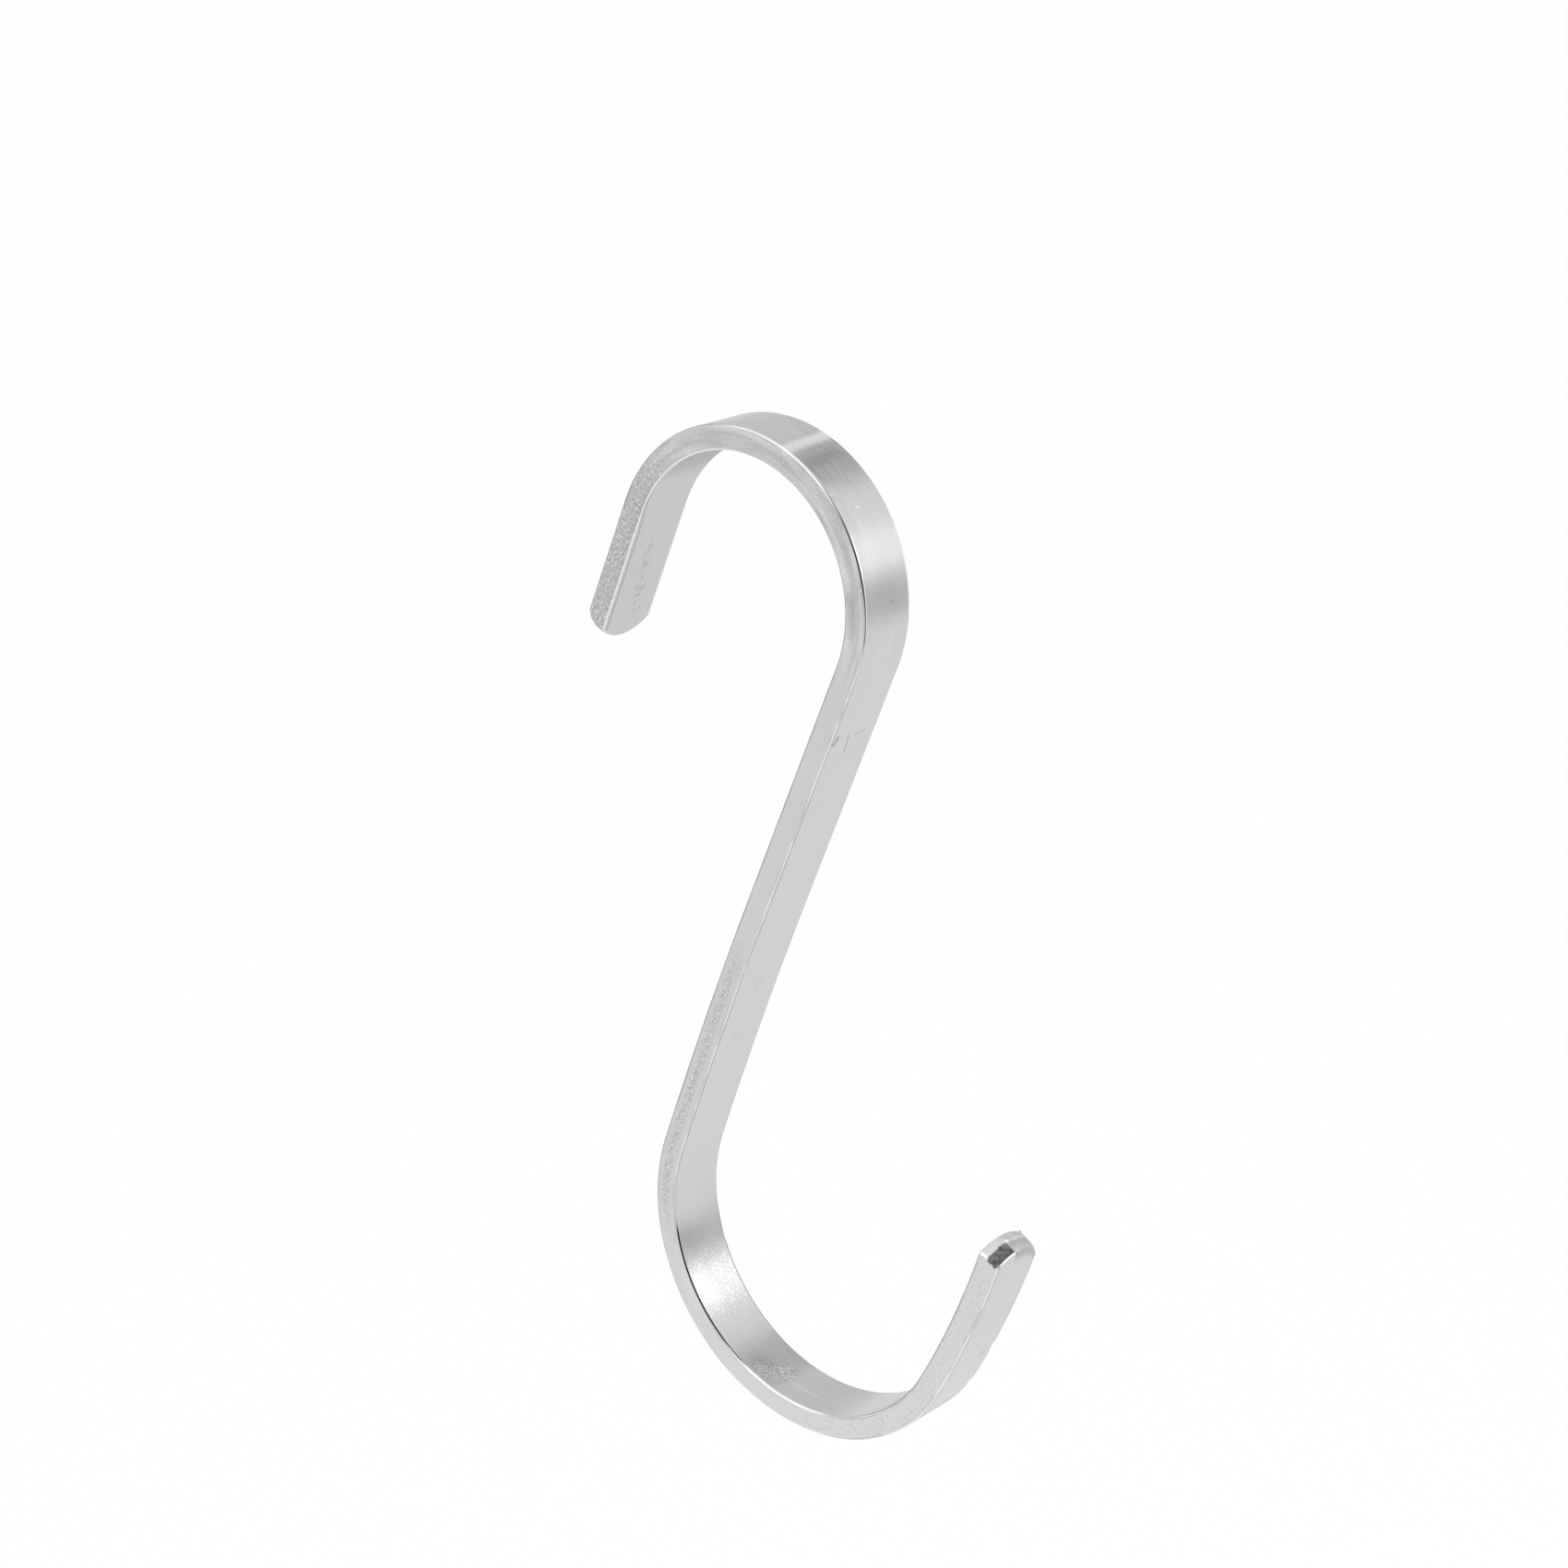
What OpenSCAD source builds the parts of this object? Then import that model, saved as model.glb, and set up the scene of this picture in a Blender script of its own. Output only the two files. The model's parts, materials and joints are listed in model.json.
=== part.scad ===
// S hook bent cold from one length of flat bar with slightly rounded long edges.
// It hangs in the X-Z plane, with the bar's width along Y and +Z up.
// The origin is the centre of the upper bend, which is the axis of the rail that it hangs on.
// The centre of the lower bend lies straight below the origin, as it does under a load.
// Sizes are in millimetres.

/* [Flat bar] */
// Width of the bar, along Y
bar_w = 6.5; // [5:0.1:9]
// Thickness of the bar
bar_t = 2.5; // [1.8:0.1:3.4]
// Radius on the bar's four long edges
edge_r = 0.25; // [0.1:0.05:0.6]

/* [Rail end] */
// Inner radius of the upper bend, a half turn in which the rail sits
rail_r = 13.2; // [10:0.1:18]
// Straight leg beyond the upper bend, out to the tip of its nose
rail_leg = 15.4; // [9:0.1:22]

/* [Shank] */
// Straight stretch of the shank, below the upper bend
shank = 28; // [15:0.5:60]
// Centreline radius of the shank's slight bow, above the lower bend
bow_r = 600; // [250:10:900]
// Angle that the bow turns through
bow_turn = 3; // [0.5:0.1:6]

/* [Load end] */
// Inner radius of the lower bend, where the load sits
load_r = 17.2; // [12:0.1:24]
// Angle that the lower bend turns through
load_turn = 171.5; // [150:0.5:185]
// Leg beyond the lower bend, out to the tip of its nose
tip_leg = 18.6; // [10:0.1:24]
// Centreline radius of that leg's slight bow
tip_bow_r = 100; // [60:1:300]

/* [Cropped ends] */
// How far the rail end's nose stands out past the bar's sides, seen on the broad face
rail_nose_rise = 1.5; // [0.8:0.05:2]
// The same for the load end's nose
load_nose_rise = 1.15; // [0.8:0.05:2]
// Radius of the edge rolled over on the inner face, where the blade entered
roll_r = 0.5; // [0.2:0.05:0.5]
// Angle between that rolled edge and the inner face where they meet
roll_angle = 35; // [20:5:50]
// Thickness of the smooth sheared band, from the inner face
sheared_t = 1.4; // [1:0.05:1.6]
// How far the torn band beyond it steps back
tear_step = 0.05; // [0.02:0.01:0.2]
// How far the torn band then slopes back, out to the outer face
tear_slope = 0.25; // [0.05:0.05:0.4]

/* [Hidden] */
$fn = 96;

// Centreline radii of the two bends
rail_bend_r = rail_r + bar_t / 2;
load_bend_r = load_r + bar_t / 2;

// Centres of the shank's bow, of the lower bend and of its leg's bow, with the shank upright.
// Each stretch is tangent to the one before it.
bow_x = rail_bend_r + bow_r;
load_x = bow_x - (bow_r - load_bend_r) * cos(bow_turn);
load_y = -shank - (bow_r - load_bend_r) * sin(bow_turn);
load_start = 180 + bow_turn;
tip_start = load_start + load_turn;
tip_x = load_x + (load_bend_r - tip_bow_r) * cos(tip_start);
tip_y = load_y + (load_bend_r - tip_bow_r) * sin(tip_start);

// Lean of the shank that brings the centre of the lower bend straight below the rail's
lean = atan2(load_x, -load_y);

// The bar is drawn this much past each nose before it is cropped
spare = bar_t;

// Radius of the arc that crops an end, for the rise of its nose over the bar's width
function nose_r(rise) = (bar_w * bar_w / 4 + rise * rise) / (2 * rise);

// Angle along a bow for a length measured on its centreline
function bow_angle(length, centre_r) = length / centre_r * 180 / PI;

// A millimetre value cut to whole hundredths
function hundredths(v) = round(v * 100) / 100;

// Moves to a place in two steps, whole hundredths first, so that no digit of it is lost
module at(x, y) {
    translate([hundredths(x), hundredths(y), 0])
        translate([x - hundredths(x), y - hundredths(y), 0])
            children();
}

// Section of the bar: thickness along X, width along Y, with true arcs on its edges
module bar_section() {
    flat_t = bar_t - 2 * edge_r;
    flat_w = bar_w - 2 * edge_r;
    square([flat_t, bar_w], center = true);
    square([bar_t, flat_w], center = true);
    for (x = [-1, 1], y = [-1, 1])
        translate([x * flat_t / 2, y * flat_w / 2])
            circle(r = edge_r);
}

// A straight stretch of bar along -Y from the origin
module straight(length) {
    rotate([90, 0, 0])
        linear_extrude(height = length)
            bar_section();
}

// A bend about the origin in the X-Y plane, anticlockwise from its starting direction
module bend(centre_r, start, turn) {
    rotate_extrude(angle = turn, start = start)
        translate([centre_r, 0])
            bar_section();
}

// Half outline of the round cropping die: radius along X, the bar's thickness along Y.
// The inner face is at the low end, with its rolled edge, then the sheared and the torn band.
module die_outline(radius) {
    inner_y = -bar_t / 2;
    outer_y = bar_t / 2;
    roll_y = inner_y + roll_r * cos(roll_angle);
    torn_y = inner_y + sheared_t;
    torn_radius = radius - tear_step;
    outer_radius = torn_radius - tear_slope;
    translate([radius - roll_r, roll_y])
        circle(r = roll_r);
    translate([0, -2 * bar_t])
        square([radius - roll_r, 2 * bar_t + torn_y]);
    translate([0, roll_y])
        square([radius, torn_y - roll_y]);
    polygon([
        [0, roll_y],
        [torn_radius, roll_y],
        [torn_radius, torn_y],
        [outer_radius, outer_y],
        [outer_radius, 2 * bar_t],
        [0, 2 * bar_t]
    ]);
}

// What the die removes from a bar that runs along +Y, with its inner face at -X and
// the tip of its nose at the origin
module cropped_off(radius) {
    translate([0, -radius, 0])
        difference() {
            translate([-bar_t, 0, -bar_w])
                cube([2 * bar_t, radius + 2 * spare, 2 * bar_w]);
            rotate([0, 90, 0])
                rotate_extrude()
                    die_outline(radius);
        }
}

// The upper bend and its straight leg, cropped at the end
module rail_end() {
    bend(rail_bend_r, 0, 180);
    translate([-rail_bend_r, 0, 0])
        difference() {
            straight(rail_leg + spare);
            translate([0, -rail_leg, 0])
                rotate([0, 0, 180])
                    cropped_off(nose_r(rail_nose_rise));
        }
}

// The straight shank and its slight bow
module shank_length() {
    translate([rail_bend_r, 0, 0])
        straight(shank);
    at(bow_x, -shank)
        bend(bow_r, 180, bow_turn);
}

// The lower bend and its bowed leg, cropped at the end
module load_end() {
    at(load_x, load_y)
        bend(load_bend_r, load_start, load_turn);
    at(tip_x, tip_y)
        difference() {
            bend(tip_bow_r, tip_start, bow_angle(tip_leg + spare, tip_bow_r));
            rotate([0, 0, tip_start + bow_angle(tip_leg, tip_bow_r)])
                translate([tip_bow_r, 0, 0])
                    cropped_off(nose_r(load_nose_rise));
        }
}

// The whole hook: bent in the X-Y plane, leaned over and stood up into the X-Z plane
module s_hook() {
    color("silver")
        rotate([90, 0, 0])
            rotate([0, 0, -lean]) {
                rail_end();
                shank_length();
                load_end();
            }
}

s_hook();
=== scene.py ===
# %% [markdown]
# # An S hook bent from flat bar
#
# The object is one length of flat steel bar. A press crops both of its ends to a round nose, and it is
# bent cold into an S: a half turn that sits on a rail, a leaning shank, and a wider bend for the load.
# This lesson makes it as a workshop does: straight stock with cropped ends, then four bends. The small
# dents are put in while it is straight, where their places are easy to give. The finish, the studio and
# the camera follow.
# The CAD part is loaded first. It is the fixed frame that the hook has to fit, in metres, with +Z up
# and the rail's axis at the origin. Its box gives the bar's width and thickness, and the floor's height.

import json
import math
from collections import namedtuple

import bmesh
import bpy
import numpy as np
from mathutils import Matrix, Vector, noise


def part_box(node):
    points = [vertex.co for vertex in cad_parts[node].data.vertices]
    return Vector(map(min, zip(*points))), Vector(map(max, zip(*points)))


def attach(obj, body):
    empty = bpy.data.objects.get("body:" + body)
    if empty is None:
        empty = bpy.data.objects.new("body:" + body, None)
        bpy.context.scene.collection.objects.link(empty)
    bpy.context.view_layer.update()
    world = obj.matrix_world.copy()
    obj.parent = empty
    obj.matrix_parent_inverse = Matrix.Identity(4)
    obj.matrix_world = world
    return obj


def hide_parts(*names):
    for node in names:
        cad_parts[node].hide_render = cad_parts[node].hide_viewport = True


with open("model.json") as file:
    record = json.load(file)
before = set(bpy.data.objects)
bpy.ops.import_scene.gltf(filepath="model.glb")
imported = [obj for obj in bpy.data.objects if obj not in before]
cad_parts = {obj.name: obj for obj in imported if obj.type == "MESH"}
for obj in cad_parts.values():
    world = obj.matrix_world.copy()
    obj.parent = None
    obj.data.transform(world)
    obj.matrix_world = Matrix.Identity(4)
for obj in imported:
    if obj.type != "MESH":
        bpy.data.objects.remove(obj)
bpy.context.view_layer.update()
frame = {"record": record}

# %% [markdown]
# ## Sizes
#
# The frame already says most of what matters: the radii of the two seats, how far the load's seat hangs
# below the rail's, and the bar's width. The thickness is what is left between the rail and the top of
# the box. The other sizes are the bar's own: its edges, its legs, its slight bows and its noses.
# Everything else follows from them, so the hook meets its seats without any fitting.

# %% Sizes in millimetres, angles in radians
MM = 0.001
NODE = "s_hook"
seats = {mount["name"]: mount for mount in frame["record"]["mounts"]}
rail_r = seats["rail_seat"]["dims"]["r_mm"]
load_r = seats["load_seat"]["dims"]["r_mm"]
drop = -seats["load_seat"]["pos_m"][2] / MM
lowest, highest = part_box(NODE)
bar_w = round((highest.y - lowest.y) / MM, 2)
bar_t = round(highest.z / MM - rail_r, 2)

# The bar's rounded edges, its legs and its slight bows
edge_r = 0.25
rail_leg = 15.4
bow_r = 600.0
bow_turn = math.radians(3)
load_turn = math.radians(171.5)
tip_leg = 18.6
tip_bow_r = 100.0
# The bands of the noses: the rolled edge, the smooth sheared band, and the torn band's step and slope
roll_r = 0.5
roll_angle = math.radians(35)
sheared_t = 1.4
tear_step = 0.05
tear_slope = 0.25

rail_bend_r = rail_r + bar_t / 2
load_bend_r = load_r + bar_t / 2
load_x = rail_bend_r + bow_r - (bow_r - load_bend_r) * math.cos(bow_turn)
shank = math.sqrt(drop ** 2 - load_x ** 2) - (bow_r - load_bend_r) * math.sin(bow_turn)
lean = math.asin(load_x / drop)
print(f"bar {bar_w} x {bar_t} mm, shank {shank:.2f} mm, lean {math.degrees(lean):.2f} degrees")

# %% [markdown]
# ## The bends as a list
#
# Along the bar, each bend has a place where it starts, a centreline radius and an angle. A radius above
# zero turns the bar towards +X of the straight stock, which is the face that the rail touches. A radius
# below zero turns it the other way, towards the face that the load touches.

# %% The bends, from the rail end to the load end
bends = []
place = rail_leg
for title, radius, turn, straight_after in [
    ("Rail bend", rail_bend_r, math.pi, shank),
    ("Shank bow", -bow_r, bow_turn, 0.0),
    ("Load bend", -load_bend_r, load_turn, 0.0),
    ("Tip bow", -tip_bow_r, tip_leg / tip_bow_r, 0.0),
]:
    bends.append((title, place, radius, turn))
    place += abs(radius) * turn + straight_after
bar_length = place
print(f"{len(bends)} bends in {bar_length:.1f} mm of bar")

# %% [markdown]
# ## Node trees as Python expressions
#
# A node graph is hard to read as a list of links. One small class wraps an output socket and gives it
# arithmetic, so `1 - mask * 2` adds the Math nodes by itself. One method adds any other node: first its
# type, then its settings, then what goes into its sockets. The same two serve the Geometry Nodes that
# bend the bar and the shader that finishes it.

# %% The value and node helpers
class Value:
    """One output of a node. Arithmetic on it adds Math nodes to the same tree."""

    def __init__(self, nodes, socket):
        self.nodes = nodes
        self.socket = socket

    def other(self, output):
        """Another output of the same node."""
        return Value(self.nodes, self.socket.node.outputs[output])

    def __add__(self, other):
        return self.nodes.math("ADD", self, other)

    def __sub__(self, other):
        return self.nodes.math("SUBTRACT", self, other)

    def __mul__(self, other):
        return self.nodes.math("MULTIPLY", self, other)

    def __truediv__(self, other):
        return self.nodes.math("DIVIDE", self, other)

    def __radd__(self, other):
        return self.nodes.math("ADD", other, self)

    def __rsub__(self, other):
        return self.nodes.math("SUBTRACT", other, self)

    def __rmul__(self, other):
        return self.nodes.math("MULTIPLY", other, self)

    def __neg__(self):
        return self.nodes.math("MULTIPLY", self, -1.0)

    def __abs__(self):
        return self.nodes.math("ABSOLUTE", self)


class Nodes:
    """Adds nodes to one tree."""

    def __init__(self, tree):
        self.tree = tree

    def add(self, kind, settings=None, sockets=None, output=0):
        """A node of a type, with its settings made first and then its sockets' values or links."""
        node = self.tree.nodes.new(kind)
        for name, value in (settings or {}).items():
            setattr(node, name, value)
        for name, value in (sockets or {}).items():
            if isinstance(value, Value):
                self.tree.links.new(value.socket, node.inputs[name])
            else:
                node.inputs[name].default_value = value
        return Value(self, node.outputs[output]) if len(node.outputs) else node

    def math(self, operation, *values):
        """A Math node on values, which are numbers or outputs."""
        return self.add("ShaderNodeMath", {"operation": operation}, dict(enumerate(values)))

    def vector(self, operation, *values):
        """A Vector Math node on vectors."""
        output = "Value" if operation in ("DOT_PRODUCT", "LENGTH") else 0
        return self.add("ShaderNodeVectorMath", {"operation": operation}, dict(enumerate(values)), output)

    def point(self, x=0.0, y=0.0, z=0.0):
        """A vector put together from three values."""
        return self.add("ShaderNodeCombineXYZ", None, {"X": x, "Y": y, "Z": z})

    def parts(self, vector):
        """The three values of a vector."""
        x = self.add("ShaderNodeSeparateXYZ", None, {"Vector": vector})
        return x, x.other("Y"), x.other("Z")

    def ramp(self, value, start, end, low=0.0, high=1.0):
        """A smooth step from low to high, while value goes from start to end."""
        sockets = {"Value": value, "From Min": start, "From Max": end, "To Min": low, "To Max": high}
        return self.add("ShaderNodeMapRange", {"interpolation_type": "SMOOTHSTEP"}, sockets)


print("helpers ready")

# %% [markdown]
# ## The section of the bar
#
# Flat bar of this size is rolled or drawn, so its four long edges are slightly round. The outline is
# made of four sides. Each runs from the middle of one corner's arc, over its flat, to the middle of the
# next arc. Cut like that, the points of opposite sides pair up, and the same points later give the
# cropped end a regular grid.

# %% Points of one side, and the four sides as a ring
ARC_STEPS = 4
BROAD_STEPS = 64
NARROW_STEPS = 22


def half_side(half_run, half_rise, steps):
    """Points (outwards, onwards) of one side, from mid-corner to mid-corner."""
    turn = np.linspace(-math.pi / 4, 0, ARC_STEPS + 1)[:-1]
    first_arc = np.column_stack([np.cos(turn), np.sin(turn)]) * edge_r
    first_arc += [half_rise - edge_r, edge_r - half_run]
    onwards = np.linspace(edge_r - half_run, half_run - edge_r, steps + 1)
    flat = np.column_stack([np.full(steps + 1, half_rise), onwards])
    second_arc = (first_arc * [1, -1])[::-1]
    return np.vstack([first_arc, flat, second_arc])


broad_side = half_side(bar_w / 2, bar_t / 2, BROAD_STEPS)
narrow_side = half_side(bar_t / 2, bar_w / 2, NARROW_STEPS)
quarter_turn = np.array([[0, 1], [-1, 0]])
ring = np.vstack([
    broad_side[:-1],
    narrow_side[:-1] @ quarter_turn,
    -broad_side[:-1],
    -narrow_side[:-1] @ quarter_turn,
])
half_t, half_w = bar_t / 2, bar_w / 2
RAIL_FACE, LOAD_FACE = half_t, -half_t
print(f"{len(ring)} points round the section")

# %% [markdown]
# ## The cropped ends
#
# A round die crops the bar from the face that ends up inside the bend. The blade first rolls that
# face's edge over, then shears a smooth band through about half of the thickness, and the rest
# tears off and slopes back. So seen on edge, the nose has three bands, and seen on the broad face it
# is an arc. One function says how far the end lies back from the nose's tip, for any place on the
# section, and what the metal is like there. Smooth noise roughens the tear, which needs no seed.
# On the load end the tear is rough only towards the front, where it also left a bright burr along the
# outer face. Towards the back it came off clean and slopes softly into the outer face. The arc sits
# a little towards the front, a splinter of metal stands up at the back corner, and two much smaller ones
# stand at the front corner and between the rough tear and the clean one.

# %% What the two noses are like
Nose = namedtuple("Nose", "inner rise middle sheared rough lip_to spots splinters")
rail_nose = Nose(
    inner=1,
    rise=1.5,
    middle=0.0,
    sheared=sheared_t,
    rough=(-1.4, 2.6),
    lip_to=0.0,
    spots=[],
    splinters=[],
)
load_nose = Nose(
    # The face that ends up inside the bend: 1 for the one that the rail touches, -1 for the other
    inner=-1,
    rise=1.15,
    middle=-0.3,
    sheared=1.05,
    # From where to where across the bar the tear is rough
    rough=(-half_w - edge_r, -0.75),
    # Depth from the inner face down to which the rim along the front face carries a painted highlight
    lip_to=1.1,
    # Spots of painted highlight at the ends of the tear: depth from the inner face, place across, reach
    spots=[(0.95, -0.62, 0.26), (1.0, -2.75, 0.11)],
    # Splinters on the sheared edge: depth from the inner face, place across, reach, height, finish
    splinters=[
        (0.12, 3.0, 0.32, 0.25, 0.6),
        (0.05, -2.95, 0.1, 0.04, 0.0),
        (0.97, -0.62, 0.26, 0.07, 0.0),
    ],
)
print("the load end's nose is", load_nose.rise, "mm high and", -load_nose.middle, "mm off centre")

# %% How far the cropped end lies back, and its finish
# Where the tear begins: how far that line wanders, and its waves per millimetre
TEAR_WANDER = 0.14
WANDER_WAVES = 1.1
# The rough part of the tear: its soft ends, its depth, and the height and grain of its roughness
TEAR_FADE = 0.10
TEAR_DEPTH = 0.14
TEAR_ROUGH = 0.16
TEAR_GRAIN = 3.2
BURR_WIDTH = 0.26
# The clean part of the tear: over how much of the thickness it rounds off, the radius and the dullness
SOFT_EDGE = 0.9
SOFT_RADIUS = 1.44
CLEAN_DULL = 0.36
# Layers of the noise, so that the two noses and their two patterns differ
NOSE_LAYER = 5.0
GRAIN_LAYER = 2.0


def smooth_step(value, start, end):
    """0 before start, 1 after end and smooth between."""
    share = np.clip((value - start) / (end - start), 0, 1)
    return share * share * (3 - 2 * share)


def rounding(reach, radius):
    """How far an arc of a radius has dropped at a reach past the place where it starts."""
    return radius - np.sqrt(radius ** 2 - np.clip(reach, 0, radius) ** 2)


def spot(depth, y, at_depth, at_y, reach):
    """1 at a place of the cropped end, falling to 0 at the reach from it."""
    return smooth_step(np.hypot(depth - at_depth, y - at_y), reach, 0)


def noise_at(x, y, grain, layer):
    """Smooth noise for places on the section, grain being its cells per millimetre."""
    return np.array([noise.noise(Vector((a * grain, b * grain, layer))) for a, b in zip(x, y)])


def crop(x, y, nose):
    """Distance back from the nose's tip at places on the section, and the finish there.

    The finish is 1 where the metal tore, -1 on the bright burr and on spots of painted highlight, and 0
    elsewhere. Where the tear is clean, it is only a little dull.
    """
    radius = (bar_w ** 2 / 4 + nose.rise ** 2) / (2 * nose.rise)
    depth = bar_t / 2 - nose.inner * x
    layer = NOSE_LAYER * nose.inner
    rolled = rounding(roll_r * math.cos(roll_angle) - depth, roll_r)
    rough_from, rough_to = nose.rough
    rough = smooth_step(y, rough_from - TEAR_FADE, rough_from + TEAR_FADE)
    rough = rough * smooth_step(y, rough_to + TEAR_FADE, rough_to - TEAR_FADE)
    edge = nose.sheared + TEAR_WANDER * noise_at(x * 0, y, WANDER_WAVES, layer)
    torn = smooth_step(depth, edge - 0.03, edge + 0.06)
    slope = np.clip((depth - edge) / (bar_t - edge), 0, 1)
    burr = smooth_step(depth, bar_t - BURR_WIDTH, bar_t - BURR_WIDTH / 2)
    pulled = rough * torn * (1 - burr)
    grain = noise_at(x, y, TEAR_GRAIN, layer + GRAIN_LAYER)
    set_back = rolled + tear_step * torn + tear_slope * slope
    set_back += pulled * (TEAR_DEPTH + TEAR_ROUGH * grain)
    set_back += (1 - rough) * rounding(depth - bar_t + SOFT_EDGE, SOFT_RADIUS)
    clean = torn * (1 - rough) * smooth_step(depth, edge, edge + 0.3)
    clean = clean * smooth_step(y, half_w, half_w - 0.6)
    finish = pulled - burr * rough + CLEAN_DULL * clean
    # The spots are painted highlight, put in as bright finish
    for at_depth, at_y, reach in nose.spots:
        finish = finish - spot(depth, y, at_depth, at_y, reach)
    for at_depth, at_y, reach, height, dulled in nose.splinters:
        splinter = spot(depth, y, at_depth, at_y, reach)
        set_back -= height * splinter
        finish = finish + dulled * splinter
    back = radius - np.sqrt((radius - set_back) ** 2 - (y - nose.middle) ** 2)
    return back, np.clip(finish, -1, 1)


for title, nose in (("rail", rail_nose), ("load", load_nose)):
    sides = np.array([-half_w, half_w])
    print(title, "nose set back at the bar's sides:", np.round(crop(sides * 0, sides, nose)[0], 2))

# %% [markdown]
# ## Straight stock
#
# The stock is a stack of rings along +Z with a grid at each end. Near an end the rings lean from the flat
# ring to the cropped outline, and the first one is drawn in a little, which breaks the sharp edge as
# tumbling does. The grid's inner points follow from the ring alone: each lies where the lines between
# opposite points of the sides cross.
# The rings could be a curve with a profile, but then the noses would need a boolean, and its ragged
# faces would show as dark specks in a glossy finish.

# %% Rings of the straight bar, each point with its finish
RING_STEP = 0.5
# The rings of a nose: how far they reach, how many there are and how they crowd towards the tip
NOSE_REACH = 4.0
NOSE_RINGS = 12
RING_CROWDING = 1.5
EDGE_BREAK = 0.07
# How far the rim's painted highlight and the dull tear run on down the bar's sides
RIM_HIGHLIGHT_SHARE = 0.01
DULL_REACH = 1.2


def nose_rings(nose):
    """Rings (x, y, distance from the tip, finish) from the cropped outline to the first flat ring."""
    x, y = ring.T
    back, finish = crop(x, y, nose)
    # Painted highlight along the rim of the front face, put in as bright finish
    rim_highlight = (y < edge_r - half_w) * (bar_t / 2 - nose.inner * x < nose.lip_to)
    dull = np.clip(finish, 0, CLEAN_DULL) * (y > nose.rough[1])
    drawn_in = 1 - EDGE_BREAK / np.hypot(x, y)
    rings = [np.column_stack([x * drawn_in, y * drawn_in, back, np.where(rim_highlight, -1, finish)])]
    for share in np.linspace(0, 1, NOSE_RINGS) ** RING_CROWDING:
        away = (back + EDGE_BREAK) * (1 - share) + NOSE_REACH * share
        fading = dull * smooth_step(away - back, DULL_REACH, 0)
        rings.append(np.column_stack([x, y, away, np.where(rim_highlight * (share < RIM_HIGHLIGHT_SHARE), -1, fading)]))
    return rings


def nose_grid(nose):
    """Inner points of the cropped end's grid, row by row from -Y to +Y."""
    across = broad_side[1:-1]
    through = narrow_side[1:-1]
    corner_x, corner_y = broad_side[0][0], narrow_side[0][0]
    shrink = 1 - EDGE_BREAK / (bar_t / 2)
    x = np.outer(across[:, 0], through[:, 1]).ravel() / corner_x * shrink
    y = np.outer(across[:, 1], through[:, 0]).ravel() / corner_y * shrink
    return np.column_stack([x, y, *crop(x, y, nose)])


def at_far_end(points):
    """The same end, turned round and put at the far end of the bar."""
    return points * [1, 1, -1, 1] + [0, 0, bar_length, 0]


rail_rings = nose_rings(rail_nose)
load_rings = [at_far_end(points) for points in nose_rings(load_nose)]
middle_count = round((bar_length - 2 * NOSE_REACH) / RING_STEP)
middle_rings = [
    np.column_stack([ring, np.full(len(ring), z), np.zeros(len(ring))])
    for z in np.linspace(NOSE_REACH, bar_length - NOSE_REACH, middle_count + 1)[1:-1]
]
rings = rail_rings + middle_rings + load_rings[::-1]
print(f"{len(rings)} rings along the stock")

# %% Faces between the rings, and the grids that close the ends
def ring_faces(count, size):
    """Quads between neighbouring rings."""
    faces = []
    for k in range(count - 1):
        for i in range(size):
            j = (i + 1) % size
            faces.append((k * size + i, k * size + j, (k + 1) * size + j, (k + 1) * size + i))
    return faces


def grid_indices(first_ring, first_inner):
    """Vertex numbers of an end's whole grid: the ring round it and the inner points."""
    rows, columns = len(broad_side), len(narrow_side)
    grid = np.zeros((rows, columns), int)
    grid[1:-1, 1:-1] = first_inner + np.arange((rows - 2) * (columns - 2)).reshape(rows - 2, -1)
    corner = np.cumsum([0, rows - 1, columns - 1, rows - 1])
    grid[:, -1] = first_ring + corner[0] + np.arange(rows)
    grid[-1, ::-1] = first_ring + corner[1] + np.arange(columns)
    grid[::-1, 0] = first_ring + corner[2] + np.arange(rows)
    grid[0, :-1] = first_ring + corner[3] + np.arange(columns - 1)
    return grid


def grid_faces(grid, flipped):
    """Quads of a grid, with their front sides up or, flipped, down."""
    faces = []
    corners = (grid[:-1, :-1], grid[:-1, 1:], grid[1:, 1:], grid[1:, :-1])
    for a, b, c, d in zip(*(corner.ravel() for corner in corners)):
        faces.append((d, c, b, a) if flipped else (a, b, c, d))
    return faces


rail_grid = nose_grid(rail_nose)
load_grid = at_far_end(nose_grid(load_nose))
stacked = np.vstack(rings + [rail_grid, load_grid])
points, finishes = stacked[:, :3].copy(), stacked[:, 3]
wall_count = len(rings) * len(ring)
rail_end = grid_indices(0, wall_count)
load_end = grid_indices(wall_count - len(ring), wall_count + len(rail_grid))
faces = ring_faces(len(rings), len(ring))
faces += grid_faces(rail_end, flipped=True) + grid_faces(load_end, flipped=False)
on_end = np.zeros(len(points))
on_end[rail_end.ravel()] = on_end[load_end.ravel()] = 1
print(f"stock: {len(points)} points, {len(faces)} quads")

# %% [markdown]
# ## Knocks along the bar
#
# The hook has been in use, and its edges and faces show a few small dents. Each dent pushes the metal in
# along one direction, most in the middle and not at all at its rim. They are made on the straight
# stock, so that their places can be given as they would be with a rule: so far along, so far across.

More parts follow.
